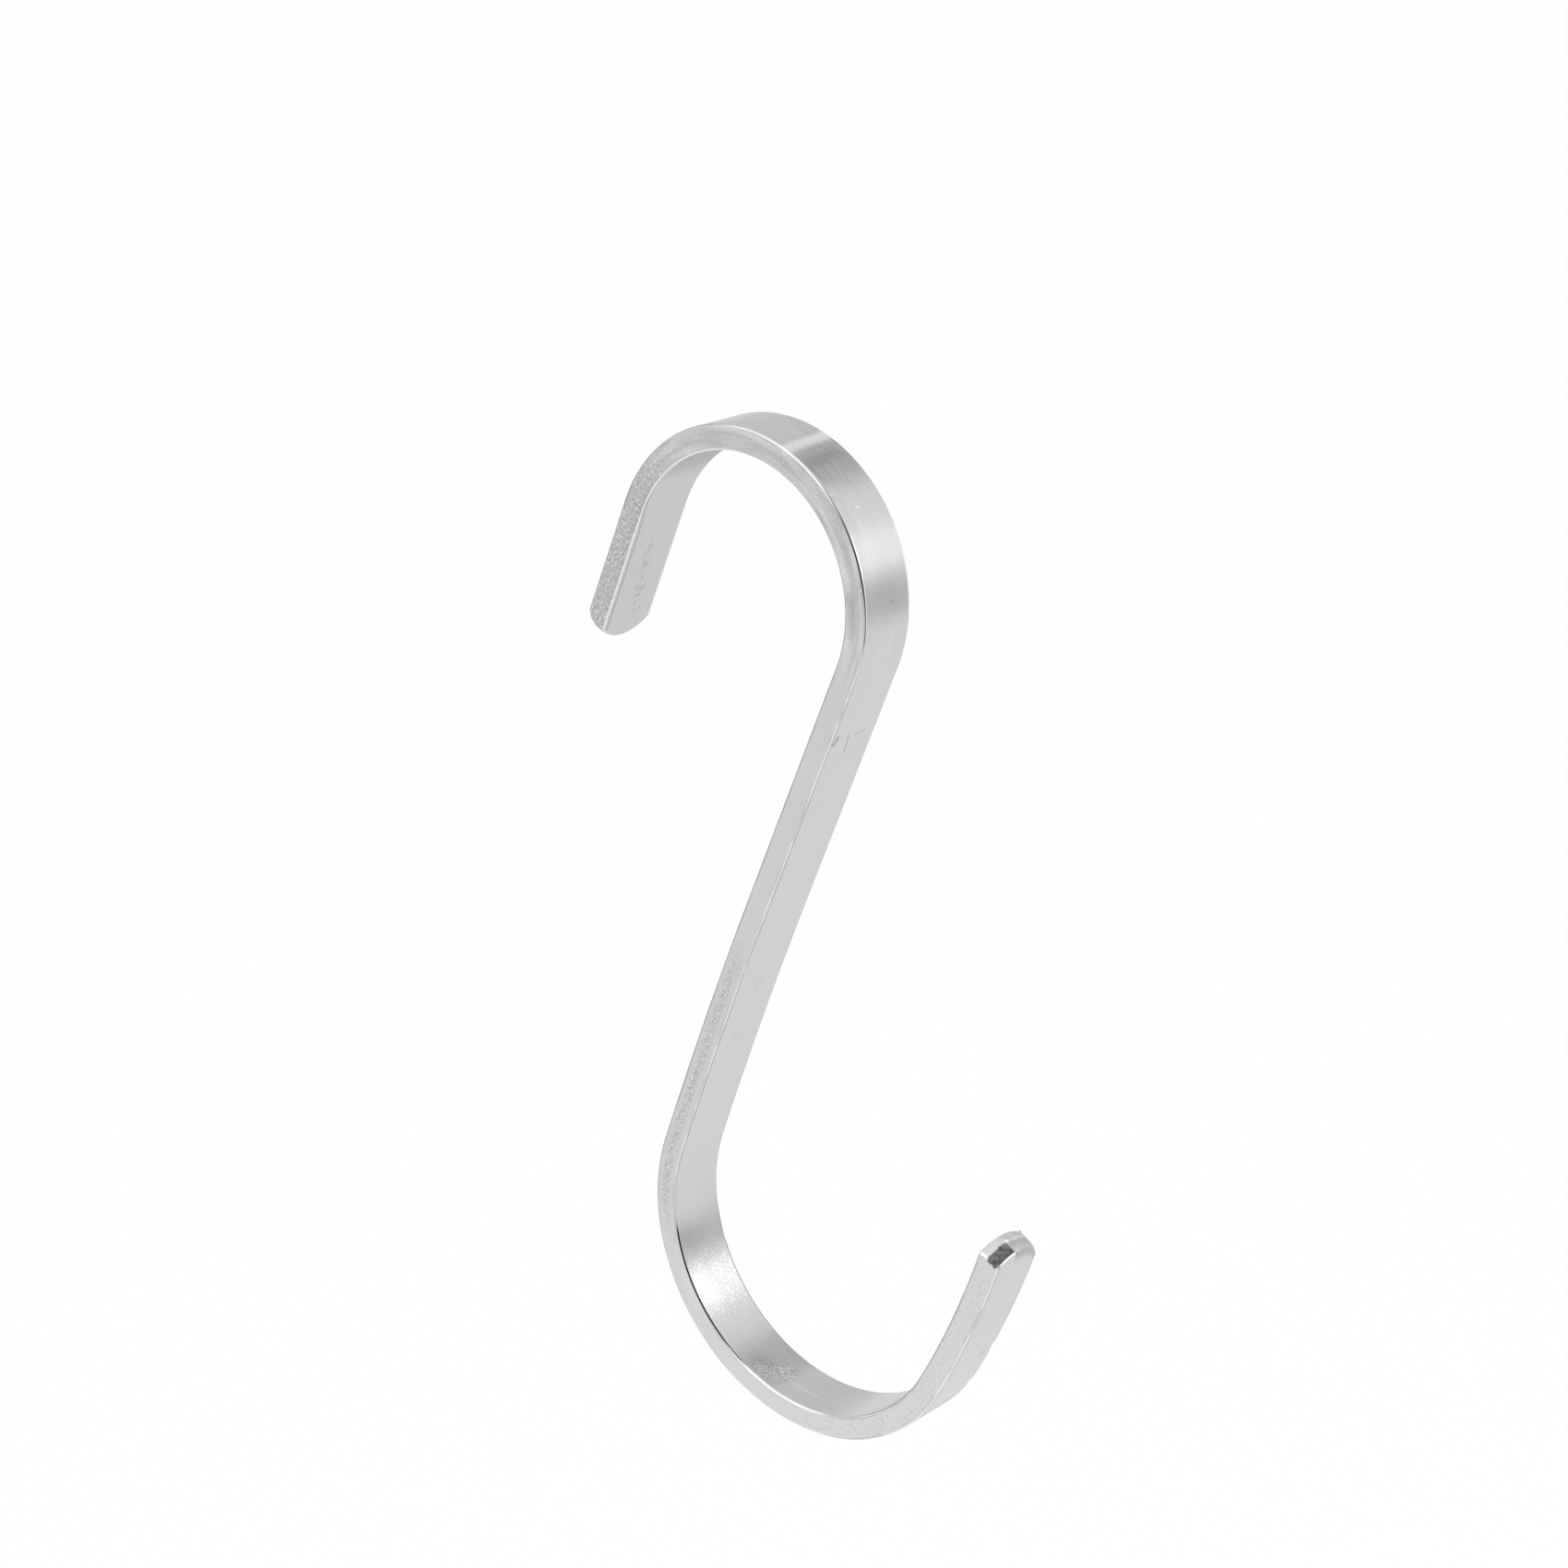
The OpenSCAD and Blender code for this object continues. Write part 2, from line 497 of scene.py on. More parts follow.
# %% Dents in the straight stock
dents = [
    # along, through (X), across (Y), towards (X, Y), radius, depth
    (179.2, RAIL_FACE, half_w, (-1, -1), 0.8, 0.14),
    (173.7, RAIL_FACE, half_w, (-1, -1), 0.8, 0.12),
    (43.8, LOAD_FACE, -2.6, (1, 0), 0.8, 0.03),
    (45.5, LOAD_FACE, -0.5, (1, 0), 0.7, 0.02),
    (68.3, LOAD_FACE, -2.6, (1, 0), 0.9, 0.03),
    (133.0, LOAD_FACE, half_w, (1, -1), 1.2, 0.04),
]
for along, through, across, towards, radius, depth in dents:
    offset = points - [through, across, along]
    share = np.clip(1 - (offset ** 2).sum(axis=1) / radius ** 2, 0, 1) ** 2
    push = np.array([*towards, 0]) / math.hypot(*towards)
    points += share[:, None] * push * depth
print(f"{len(dents)} dents, the deepest {max(d[-1] for d in dents)} mm")

# %% The stock as a mesh
def new_object(title, data):
    """An object at the origin, in the scene."""
    made = bpy.data.objects.new(title, data)
    bpy.context.scene.collection.objects.link(made)
    return made


stock_mesh = bpy.data.meshes.new("stock")
stock_mesh.from_pydata((points * MM).tolist(), [], faces)
stock_mesh.attributes.new("crop", "FLOAT", "POINT").data.foreach_set("value", finishes)
stock_mesh.attributes.new("end", "FLOAT", "POINT").data.foreach_set("value", on_end)
stock_mesh.update()
stock = new_object("stock", stock_mesh)
print(f"stock mesh: {len(stock_mesh.polygons)} faces")

# %% [markdown]
# ## One bend
#
# A bending die leaves the bar before it straight, curls what lies against it and carries the rest round.
# As a rule for a point of the bar: slide it back by the length of bar that the bend has used up so far,
# and turn it about the die's centre by that length over the radius. The length is none before the bend
# and the whole arc after it, so one expression serves all three. The node group below says just that, and
# it is used once for each bend.
# A Curve modifier could bend the bar too, but it would need a curve of the right length to a hair, and it
# gives no say in where each bend starts.

# %% The bend as a node group
def new_group(title, inputs):
    """A geometry node group with a geometry in and out, and other inputs of given names and kinds."""
    tree = bpy.data.node_groups.new(title, "GeometryNodeTree")
    tree.interface.new_socket("Geometry", in_out="INPUT", socket_type="NodeSocketGeometry")
    for name, kind in inputs:
        tree.interface.new_socket(name, in_out="INPUT", socket_type=kind)
    tree.interface.new_socket("Geometry", in_out="OUTPUT", socket_type="NodeSocketGeometry")
    nodes = Nodes(tree)
    return tree, nodes, nodes.add("NodeGroupInput")


NUMBER = "NodeSocketFloat"
bend_sizes = ("Start", "Radius", "Turn")
bend_tree, bend_nodes, given = new_group("bend", [(size, NUMBER) for size in bend_sizes])
start, radius, turn = (given.other(size) for size in bend_sizes)
stock_place = bend_nodes.add(
    "GeometryNodeInputNamedAttribute", {"data_type": "FLOAT_VECTOR"}, {"Name": "stock"}
)
along = bend_nodes.parts(stock_place)[2]
used = bend_nodes.math("MINIMUM", bend_nodes.math("MAXIMUM", along - start, 0.0), abs(radius) * turn)
position = bend_nodes.add("GeometryNodeInputPosition")
slid_back = bend_nodes.vector("SUBTRACT", position, bend_nodes.point(z=used))
turned = bend_nodes.add(
    "ShaderNodeVectorRotate",
    {"rotation_type": "Y_AXIS"},
    {"Vector": slid_back, "Center": bend_nodes.point(x=radius, z=start), "Angle": used / radius},
)
bent = bend_nodes.add("GeometryNodeSetPosition", None, {"Geometry": given, "Position": turned})
bend_nodes.add("NodeGroupOutput", None, {"Geometry": bent})
print(f"bend group: {len(bend_tree.nodes)} nodes")

# %% [markdown]
# ## The whole bending, and the turn into place
#
# The tree first stores each point's place on the straight stock under the name "stock". The bends read it,
# and so does the finish later, because pits, drawn lines and scratches follow the bar and not the
# room. The bends are then made from the far end back, so that each starts on bar that is still straight.
# Last, the hook is slid until the rail's axis is at the origin and leaned over as it hangs.

# %% The tree that bends the stock
inputs = [("Material", "NodeSocketMaterial"), ("Lean", NUMBER), ("Rail axis", "NodeSocketVector")]
for title, *_ in bends:
    inputs += [(f"{title} {size.lower()}", NUMBER) for size in bend_sizes]
forming_tree, forming, given = new_group("bend the bar", inputs)
geometry = forming.add(
    "GeometryNodeStoreNamedAttribute",
    {"data_type": "FLOAT_VECTOR", "domain": "POINT"},
    {"Geometry": given, "Name": "stock", "Value": forming.add("GeometryNodeInputPosition")},
)
for title, *_ in reversed(bends):
    sizes = {size: given.other(f"{title} {size.lower()}") for size in bend_sizes}
    geometry = forming.add(
        "GeometryNodeGroup", {"node_tree": bend_tree}, {"Geometry": geometry, **sizes}
    )
centred = forming.vector("SUBTRACT", forming.add("GeometryNodeInputPosition"), given.other("Rail axis"))
leaned = forming.add(
    "ShaderNodeVectorRotate", {"rotation_type": "Y_AXIS"}, {"Vector": centred, "Angle": given.other("Lean")}
)
geometry = forming.add("GeometryNodeSetPosition", None, {"Geometry": geometry, "Position": leaned})
geometry = forming.add("GeometryNodeRealizeInstances", None, {"Geometry": geometry})
geometry = forming.add(
    "GeometryNodeSetMaterial", None, {"Geometry": geometry, "Material": given.other("Material")}
)
forming.add("NodeGroupOutput", None, {"Geometry": geometry})
print(f"bending tree: {len(forming_tree.nodes)} nodes, {len(inputs)} inputs")

# %% [markdown]
# ## The finish
#
# The bar is bright satin steel: drawn, bent, then tumbled. It has no colour of its own, and what is seen
# of it is the studio, blurred. These keep it from looking like plastic or chrome:
# - the blur changes over the surface, in streaks along the bar and in patches;
# - a fine grain breaks up highlights, most where the bends have stretched the skin, and in the load bend
#   painted sparkles of highlight add to it;
# - the narrow faces are pitted, most on the rail leg and, in front, in a line low on the shank;
# - the long edges carry thin broken lines of painted highlight, with a faint line of painted shade beside
#   each;
# - the torn part of the cropped end is dark and dull, and its burr is bright.
#
# Everything is placed in millimetres of the straight stock, so a pit stays where it is when seen from
# another side.

# %% An empty material, and the patterns and masks for it
def new_material(title):
    """A material with nothing in it, and its nodes."""
    material = bpy.data.materials.new(title)
    material.use_nodes = True
    material.node_tree.nodes.clear()
    return material, Nodes(material.node_tree)


def cloud(nodes, place, scale, detail=2.0, roughness=0.5):
    """Noise about zero, from -0.5 to 0.5."""
    sockets = {"Vector": place, "Scale": scale, "Detail": detail, "Roughness": roughness}
    return nodes.add("ShaderNodeTexNoise", None, sockets) - 0.5


def window(nodes, value, low, high, soft):
    """1 while value is between low and high, with soft ends."""
    return nodes.ramp(value, low - soft, low) * nodes.ramp(value, high + soft, high)


def near_line(nodes, place, start, end, reach):
    """1 on a straight line between two places, falling to 0 at the reach from it."""
    start, end = Vector(start), Vector(end)
    run = end - start
    offset = nodes.vector("SUBTRACT", place, start)
    share = nodes.vector("DOT_PRODUCT", offset, run / run.length_squared)
    share = nodes.math("MINIMUM", nodes.math("MAXIMUM", share, 0.0), 1.0)
    foot = nodes.add("ShaderNodeVectorMath", {"operation": "SCALE"}, {0: run, "Scale": share})
    away = nodes.vector("LENGTH", nodes.vector("SUBTRACT", offset, foot))
    return nodes.ramp(away, reach, 0.0)


print("material helpers ready")

# %% [markdown]
# ## Where on the bar a point is
#
# Most of the finish belongs to a face, to a band beside the long edges or to a stretch of the bar. The
# class below reads the place on the straight stock that the bending stored, and turns such questions about
# it into masks. Its `edge` is the way onto a broad face from its long edge, and is below zero on the
# narrow faces, so that one number finds the edges, the lines beside them and both kinds of face.

# %% What the finish asks about a point of the bar
class BarSurface:
    """Where a shaded point lies on the straight stock, in millimetres, and what is there."""

    def __init__(self, nodes):
        self.nodes = nodes
        place = nodes.add("ShaderNodeAttribute", {"attribute_name": "stock"}, None, "Vector")
        self.place = nodes.add("ShaderNodeVectorMath", {"operation": "SCALE"}, {0: place, "Scale": 1 / MM})
        self.through, self.across, self.along = nodes.parts(self.place)
        self.crop_finish = nodes.add("ShaderNodeAttribute", {"attribute_name": "crop"}, None, "Fac")
        self.on_end = nodes.add("ShaderNodeAttribute", {"attribute_name": "end"}, None, "Fac")
        # Distance from the nearest long edge, above zero on the broad faces and below it on the narrow ones
        self.edge = (half_w - abs(self.across)) - (half_t - abs(self.through))
        self.narrow = nodes.ramp(self.edge, -0.05, -0.25) * (1 - self.on_end)
        self.broad = nodes.ramp(self.edge, 0.10, 0.40) * (1 - self.on_end)
        self.middle_line = nodes.ramp(abs(self.through), 0.80, 0.25)
        self.front = nodes.ramp(self.across, 0.5, -0.5)
        self.rail_side = nodes.ramp(self.through, 0.0, RAIL_FACE)
        self.load_side = nodes.ramp(self.through, 0.0, LOAD_FACE)

    def stretch(self, start, end, soft):
        """1 on a stretch of the bar, with soft ends."""
        return window(self.nodes, self.along, start, end, soft)

    def band(self, low, high, soft):
        """1 in a band beside the long edges: onto the broad face above zero, onto the narrow one below."""
        return window(self.nodes, self.edge, low, high, soft)

    def mark(self, face, start, end, reach):
        """1 on a line between two places (across, along) of a broad face, falling to 0 at the reach."""
        return near_line(self.nodes, self.place, (face, *start), (face, *end), reach)

    def cloud(self, scale, drawn_out=(1.0, 1.0, 1.0), detail=2.0, roughness=0.5):
        """Noise about zero. It is longer in each direction that has a factor below 1."""
        place = self.nodes.vector("MULTIPLY", self.place, drawn_out)
        return cloud(self.nodes, place, scale, detail, roughness)


print("surface helper ready")

# %% [markdown]
# ## Scratches, rubbed scuffs, and patches of painted highlight and shade
#
# Each mark is a line from one place of the bar to another, with the reach on either side of it. A mark
# that lies on one broad face doesn't show on the others, because its distance counts through the bar
# as well. A short line with a wide reach makes a patch. The wide patches in the two bends are painted
# highlight and painted shade.

# %% Marks of use, and patches of painted highlight and painted shade
marks = [
    # face, across and along at the start, the same at the end, reach, change of tone
    # Nicks on the upper bend
    (LOAD_FACE, (-2.9, 43.7), (-2.4, 43.8), 0.10, 0.24),
    (LOAD_FACE, (-0.7, 45.4), (-0.4, 45.5), 0.15, 0.22),
    (LOAD_FACE, (0.6, 54.0), (0.9, 54.2), 0.16, -0.14),
    # Scratches at the top of the shank
    (LOAD_FACE, (-2.4, 67.5), (-2.7, 68.4), 0.28, -0.34),
    (LOAD_FACE, (-0.8, 67.7), (-0.5, 69.6), 0.15, -0.26),
    (LOAD_FACE, (0.1, 67.9), (1.4, 67.8), 0.16, -0.14),
    # Faint stains low on the shank
    (LOAD_FACE, (0.5, 98.8), (-0.1, 99.5), 0.70, -0.04),
    (LOAD_FACE, (-0.6, 105.0), (-0.8, 106.0), 0.60, -0.03),
    # Two specks and a bright scratch in the load bend
    (LOAD_FACE, (-1.9, 125.5), (-1.9, 125.6), 0.08, -0.22),
    (LOAD_FACE, (2.3, 128.8), (2.3, 128.9), 0.08, -0.22),
    (LOAD_FACE, (-0.7, 150.3), (-0.8, 155.7), 0.09, 0.24),
    # A painted highlight across the top of the upper bend, and painted shade beside it
    (LOAD_FACE, (-2.6, 38.0), (2.8, 37.7), 1.00, 0.42),
    (LOAD_FACE, (-2.6, 40.3), (1.6, 40.0), 1.20, -0.12),
    # Wide soft patches of painted shade and painted highlight in the load bend
    (LOAD_FACE, (-2.4, 131.0), (-0.6, 132.0), 2.00, -0.07),
    (LOAD_FACE, (-2.1, 135.6), (-1.6, 138.8), 2.40, 0.08),
    (LOAD_FACE, (-1.6, 148.2), (-0.2, 150.4), 2.30, -0.13),
    # A nick and a stain on the outer face of the tip leg
    (RAIL_FACE, (1.3, 178.9), (1.7, 179.2), 0.22, -0.36),
    (RAIL_FACE, (2.5, 184.0), (2.4, 186.0), 0.30, -0.04),
]


def marked(surface):
    """The change of tone that all the marks make, painted highlight and painted shade among them."""
    change = None
    for face, start, end, reach, amount in marks:
        line = surface.mark(face, start, end, reach) * amount
        change = line if change is None else change + line
    return change


def rubbed_scuffs(surface):
    """Fine scuffs, darker and lighter, where a load has rubbed the bottom of its bend."""
    rubbed = surface.mark(LOAD_FACE, (-2.0, 148.6), (-0.1, 150.4), 2.1)
    return (surface.cloud(5.2, detail=3.0, roughness=0.7) + 0.03) * rubbed


def leg_chatter(surface):
    """Faint slanting chatter in a strip on the inner face of the rail leg."""
    nodes = surface.nodes
    # Noise read on slanted axes has cells that are short slanting strokes
    slanted = nodes.point(
        surface.through,
        (surface.across + surface.along) * 0.5,
        (surface.along - surface.across) * 2.2,
    )
    slanted_cloud = cloud(nodes, slanted, 2.1, 3.0, 0.6)
    cuts = nodes.ramp(slanted_cloud, 0.00, 0.16)
    ridges = nodes.ramp(slanted_cloud, -0.05, -0.20)
    return (cuts - ridges * 0.4) * surface.mark(RAIL_FACE, (0.7, 3.0), (-0.5, 11.2), 1.1)


print(f"{len(marks)} marks")

# %% [markdown]
# ## Painted highlight and painted shade on the long edges
#
# Tumbling and use burnish the corners of a bar first. What is seen is a hairline of light on each long
# edge, which breaks off and starts again, and dark lines of shade just beside it, where the round edge
# reflects darker parts of the studio. The round edge is only a pixel or two wide in the picture, too little
# for the lamps to draw it well by themselves, so the lines are painted into the metal's tone: the bright
# ones as painted highlight and the dark ones as painted shade.

# %% Painted highlight lines and painted shade lines
# Stretches of the bar with a painted highlight line: from, to and the length of the soft ends, then the
# strength
highlight_stretches = [
    ((145.0, 157.0, 2.0), 1.0),
    ((165.0, 177.0, 2.0), 0.8),
    ((176.0, 184.0, 1.0), 0.8),
    ((188.0, 193.0, 0.7), 0.8),
]
# Two dark lines of painted shade and a painted glint: the band beside the edge, the stretch of the bar, the
# change of tone
shade_and_glint_lines = [
    ((0.04, 0.12, 0.05), (44.0, 56.5, 2.0), -0.50),
    ((0.00, 0.16, 0.05), (130.5, 146.0, 2.0), -0.60),
    ((0.19, 0.24, 0.05), (48.5, 55.0, 1.5), 0.34),
]


def stretched_skin(surface):
    """1 on the skin of the two tight bends, from a few millimetres inside each, 0 on straight bar."""
    reached = {title: (start, start + abs(radius) * turn) for title, start, radius, turn in bends}
    (rail_from, rail_to), (load_from, load_to) = reached["Rail bend"], reached["Load bend"]
    on_rail_bend = surface.stretch(rail_from + 6, rail_to - 4, 6.0)
    return on_rail_bend + surface.stretch(load_from + 6, load_to - 4, 5.0)


def painted_edge_lines(surface, skin):
    """Tone of the painted highlight on the long edges, a broken bright line, and of the painted shade
    beside it.
    """
    nodes, along = surface.nodes, surface.along
    # Noise that breaks the painted highlight and shade lines up along the bar
    highlight_breaks = surface.cloud(0.22, (0.3, 0.3, 1.0), detail=3.0)
    line_breaks = surface.cloud(0.35, (0.3, 0.3, 1.0))
    on_rail_leg = nodes.ramp(along, 17.0, 13.0)
    on_tip_leg = nodes.ramp(along, 170.0, 174.0)
    elsewhere = (1 - on_rail_leg) * (1 - on_tip_leg) * (1 - skin)
    outer_start = nodes.ramp(surface.through, 0.3, -0.3) * nodes.ramp(along, 33.0, 29.0)

    # The bright line is painted highlight, shown where the noise lets it and on the listed stretches
    shown = nodes.ramp(highlight_breaks, -0.08, 0.02) * elsewhere * 0.65 + on_rail_leg
    shown = shown + surface.stretch(18.0, 44.0, 3.0) * (1 - outer_start) * 0.7
    for stretch, strength in highlight_stretches:
        shown = shown + surface.stretch(*stretch) * strength
    tone = surface.band(-0.08, 0.03, 0.05) * shown * 0.34
    # A wider painted highlight across the front edges low in the load bend
    wide_edge_highlight = surface.band(-0.20, 0.10, 0.05) * surface.stretch(148.5, 157.0, 3.0) * surface.front
    tone = tone + wide_edge_highlight * nodes.ramp(line_breaks, -0.30, 0.00) * 0.34

    # Painted shade beside the edges in the two bends, and a painted glint
    for band, stretch, change in shade_and_glint_lines:
        tone = tone + surface.band(*band) * surface.stretch(*stretch) * change
    # Painted shade on the outer edge where the upper bend starts, and painted shade beside and inside the
    # edges
    start_edge_shade = surface.band(0.02, 0.10, 0.05) * surface.stretch(22.0, 40.0, 3.0) * outer_start
    shade_beside_edge = surface.band(0.16, 0.22, 0.07) * nodes.ramp(line_breaks, -0.20, 0.02) * elsewhere
    shade_inside_edge = surface.band(-0.24, -0.17, 0.05) * nodes.ramp(line_breaks, -0.05, 0.12)
    tone = tone - start_edge_shade * 0.40 - shade_beside_edge * 0.20 - shade_inside_edge * 0.12

    # On the rail leg a lighter strip of painted highlight and a line of painted shade; on the tip leg,
    # painted shade beside the edges
    strip = window(nodes, abs(surface.edge), 0.10, 0.28, 0.06) * on_rail_leg
    leg_edge_shade = surface.band(0.40, 0.52, 0.10) * on_rail_leg * surface.front
    tip_shade = surface.band(0.15, 0.45, 0.20) * on_tip_leg
    return tone + strip * 0.09 - leg_edge_shade * 0.20 - tip_shade * 0.05


print(f"bright lines on {len(highlight_stretches)} stretches")

# %% [markdown]
# ## Pits and flecks
#
# The narrow faces are pitted. The pits are thresholds of two clouds: a coarse one on the rail leg and in
# the line low on the shank, and a fine one there and, more faintly, along the rest of the bar. The same
# fine cloud, cut at its other end, gives small bright flecks, so that no fleck lies in a fine pit. Holes
# this small are left to the material, because as geometry they would take millions of faces.

# %% Pits of the narrow faces
# Stretches of the bar: from, to and the length of the soft ends
RAIL_LEG = (0.0, 18.0, 6.0)
UPPER_BEND = (24.0, 58.0, 6.0)
LOW_SHANK = (99.0, 125.0, 8.0)


def pits_and_flecks(surface):
    """Pits and bright flecks of the narrow faces, each from 0 to about 1."""
    nodes = surface.nodes
    blotches = surface.cloud(3.4, (1.0, 1.0, 0.7), detail=4.0, roughness=0.75)
    specks = surface.cloud(4.0, (1.0, 1.0, 0.8))
    whole_leg = surface.stretch(*RAIL_LEG)
    upper_bend = surface.stretch(*UPPER_BEND)
    towards_tip = nodes.ramp(surface.along, 148.0, 160.0)
    front_line = surface.stretch(*LOW_SHANK) * surface.middle_line * surface.front
    coarse = nodes.ramp(blotches, -0.06, 0.16) * front_line + nodes.ramp(blotches, 0.00, 0.14) * whole_leg
    fine = nodes.ramp(specks, -0.08, -0.20)
    fine = fine * (whole_leg + front_line + upper_bend * 0.3 + towards_tip * 0.6 + 0.1)
    flecks = nodes.ramp(specks, 0.06, 0.16) * (whole_leg + front_line * 0.8 + upper_bend * 0.25)
    return (coarse * 0.5 + fine * 0.7) * surface.narrow, flecks * surface.narrow


print("pits ready")

# %% [markdown]
# ## The steel
#
# The tone is a sum: an even steel, the faint streaks of drawing, and what each stretch, line, pit and mark
# adds or takes. The edge lines, the sparkles in the load bend, the wide patches in the bends and the load
# nose's rim and spots are painted highlight and painted shade. Pits and the torn metal are also duller, and
# the grain of the bends is in the bump, where it breaks up the highlights. Bright steel is a metal all
# over, so that number sits on the shader itself.

# %% The steel of the bar
STEEL_TONE = 0.63
END_TONE = 0.73
TORN_TONE = 0.22
BRIGHTEST = 0.97
SATIN_ROUGHNESS = 0.27
UPPER_GLOW = (35.0, 41.0, 4.0)
LOWER_GLOW = (134.8, 140.0, 3.0)


def bar_steel():
    """Satin steel with drawn streaks, grain, pits and scratches."""
    material, nodes = new_material("satin_steel")
    surface = BarSurface(nodes)
    narrow, broad, on_end = surface.narrow, surface.broad, surface.on_end
    torn = nodes.math("MAXIMUM", surface.crop_finish, 0.0)
    # Bright finish: the burr, and the painted highlight on the load nose's rim and spots
    bright_burr_and_highlight = nodes.math("MAXIMUM", -surface.crop_finish, 0.0)
    skin = stretched_skin(surface)
    whole_leg = surface.stretch(*RAIL_LEG)
    upper_bend = surface.stretch(*UPPER_BEND)
    low_shank = surface.stretch(*LOW_SHANK)
    upper_glow = surface.stretch(*UPPER_GLOW) * surface.load_side * broad
    lower_glow = surface.stretch(*LOWER_GLOW) * surface.load_side * broad

    streaks = surface.cloud(1.4, (1.6, 1.6, 0.07), detail=3.0)
    silk = surface.cloud(4.0, (1.0, 1.0, 0.12))
    patches = surface.cloud(0.35, (1.0, 1.0, 0.5), detail=3.0)
    grain = surface.cloud(7.0, roughness=0.6)
    shades = surface.cloud(1.0, (1.0, 1.0, 0.2)) * upper_bend
    # Sparkles of painted highlight in the load bend's highlight, put into the tone
    sparkles = nodes.ramp(surface.cloud(3.8, detail=3.0, roughness=0.7), 0.00, 0.16) * lower_glow
    pits, flecks = pits_and_flecks(surface)
    chatter = leg_chatter(surface)
    scuffs = rubbed_scuffs(surface)
    fibres = nodes.math("SINE", (surface.through - surface.across) * 7.0 + grain * 9.0)
    torn_tone = TORN_TONE + fibres * 0.05 + surface.cloud(1.6) * 0.34

    tone = STEEL_TONE + streaks * (0.012 + narrow * (0.05 + upper_bend * 0.20)) + patches * 0.06
    tone = tone + silk * (upper_glow * 0.34 + lower_glow * 0.08) + sparkles * 0.24
    tone = tone + shades * (narrow * 0.50 + broad * surface.load_side * 0.08)
    tone = tone - whole_leg * (narrow * 0.08 + surface.rail_side * 0.05) - low_shank * narrow * 0.02
    tone = tone - surface.middle_line * narrow * (upper_bend * 0.05 + low_shank * 0.02)
    tone = tone - pits * 0.24 + flecks * 0.28 - chatter * 0.20 + scuffs * 2.1
    # The edge lines and some of the marks add painted highlight and painted shade
    tone = tone + (painted_edge_lines(surface, skin) + marked(surface)) * (1 - on_end)
    tone = tone + on_end * (END_TONE - STEEL_TONE) + bright_burr_and_highlight * 0.32 - torn * (END_TONE - torn_tone)
    tone = nodes.math("MINIMUM", tone, BRIGHTEST)
    roughness = SATIN_ROUGHNESS + streaks * 0.05 + patches * 0.10 + pits * 0.20
    roughness = roughness + torn * 0.25 + on_end * 0.12
    height = streaks * (0.0015 + narrow * 0.006) + grain * (0.0004 + skin * 0.0055 + torn * 0.03)
    height = height + silk * upper_glow * 0.004 - pits * 0.02 + flecks * 0.008
    height = height - chatter * 0.01 + scuffs * 0.03

    bump = nodes.add("ShaderNodeBump", None, {"Strength": 1.0, "Distance": MM, "Height": height})
    colour = nodes.add("ShaderNodeCombineColor", None, {"Red": tone, "Green": tone, "Blue": tone})
    shader = nodes.add(
        "ShaderNodeBsdfPrincipled",
        None,
        {"Base Color": colour, "Metallic": 1.0, "Roughness": roughness, "Normal": bump},
    )
    nodes.add("ShaderNodeOutputMaterial", None, {"Surface": shader})
    return material


steel = bar_steel()
print(f"{steel.name}: {len(steel.node_tree.nodes)} nodes")

# %% Bend the stock and turn it into a plain mesh
SHARP_ANGLE = math.radians(30)

modifier = stock.modifiers.new("bending", "NODES")
modifier.node_group = forming_tree
named = {item.name: item.identifier for item in forming_tree.interface.items_tree if item.in_out == "INPUT"}
modifier[named["Material"]] = steel
modifier[named["Lean"]] = lean
modifier[named["Rail axis"]] = (rail_bend_r * MM, 0.0, rail_leg * MM)
for title, start_at, bend_radius, bend_turn in bends:
    modifier[named[f"{title} start"]] = start_at * MM
    modifier[named[f"{title} radius"]] = bend_radius * MM
    modifier[named[f"{title} turn"]] = bend_turn
evaluated = bpy.context.evaluated_depsgraph_get()
hook_mesh = bpy.data.meshes.new_from_object(
    stock.evaluated_get(evaluated), preserve_all_data_layers=True, depsgraph=evaluated
)
bpy.data.objects.remove(stock)
hook = new_object("bent_bar", hook_mesh)
hook_mesh.shade_smooth()
hook_mesh.set_sharp_from_angle(angle=SHARP_ANGLE)
print(f"{hook.name}: {len(hook_mesh.polygons)} faces, attributes {[a.name for a in hook_mesh.attributes]}")

# %% Check the mesh: closed, pointing outwards, of the bar's own volume
check = bmesh.new()
check.from_mesh(hook_mesh)
open_edges = sum(not edge.is_manifold for edge in check.edges)
print(f"open edges {open_edges}, volume {check.calc_volume(signed=True) / MM ** 3:.0f} mm3")
check.free()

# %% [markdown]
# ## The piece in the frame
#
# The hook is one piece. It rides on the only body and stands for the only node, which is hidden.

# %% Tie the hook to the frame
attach(hook, "root")
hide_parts(NODE)
print(f"{hook.name} stands for {NODE}")

# %% [markdown]
# ## The studio
#
# Bright metal shows its surroundings, so the studio makes most of the picture. It is a white room with two
# large soft lamps: one above and in front, and one on the right, a little behind, which makes the white
# highlights of the two bends. Grey cards stand where a photographer's flags do. The darkest ones, behind
# the camera and on the left, stand for the unlit side of the room, and one low on the left is brighter
# than white, as a lit floor is.
# The cards are seen only in the metal: they throw no shadow and the camera looks through them. Their rims
# fade out, so that they leave no hard lines in the steel.
# Places are given as the direction from the hook and a distance.

# %% Where a studio piece stands
# The middle of the hook, in metres
SUBJECT = Vector((0.002, 0.0, -0.036))
LAMP_DISTANCE = 0.65
CARD_DISTANCE = 0.80
# The share of a card's width and height over which each of its rims fades out
RIM_SHARE = 0.25


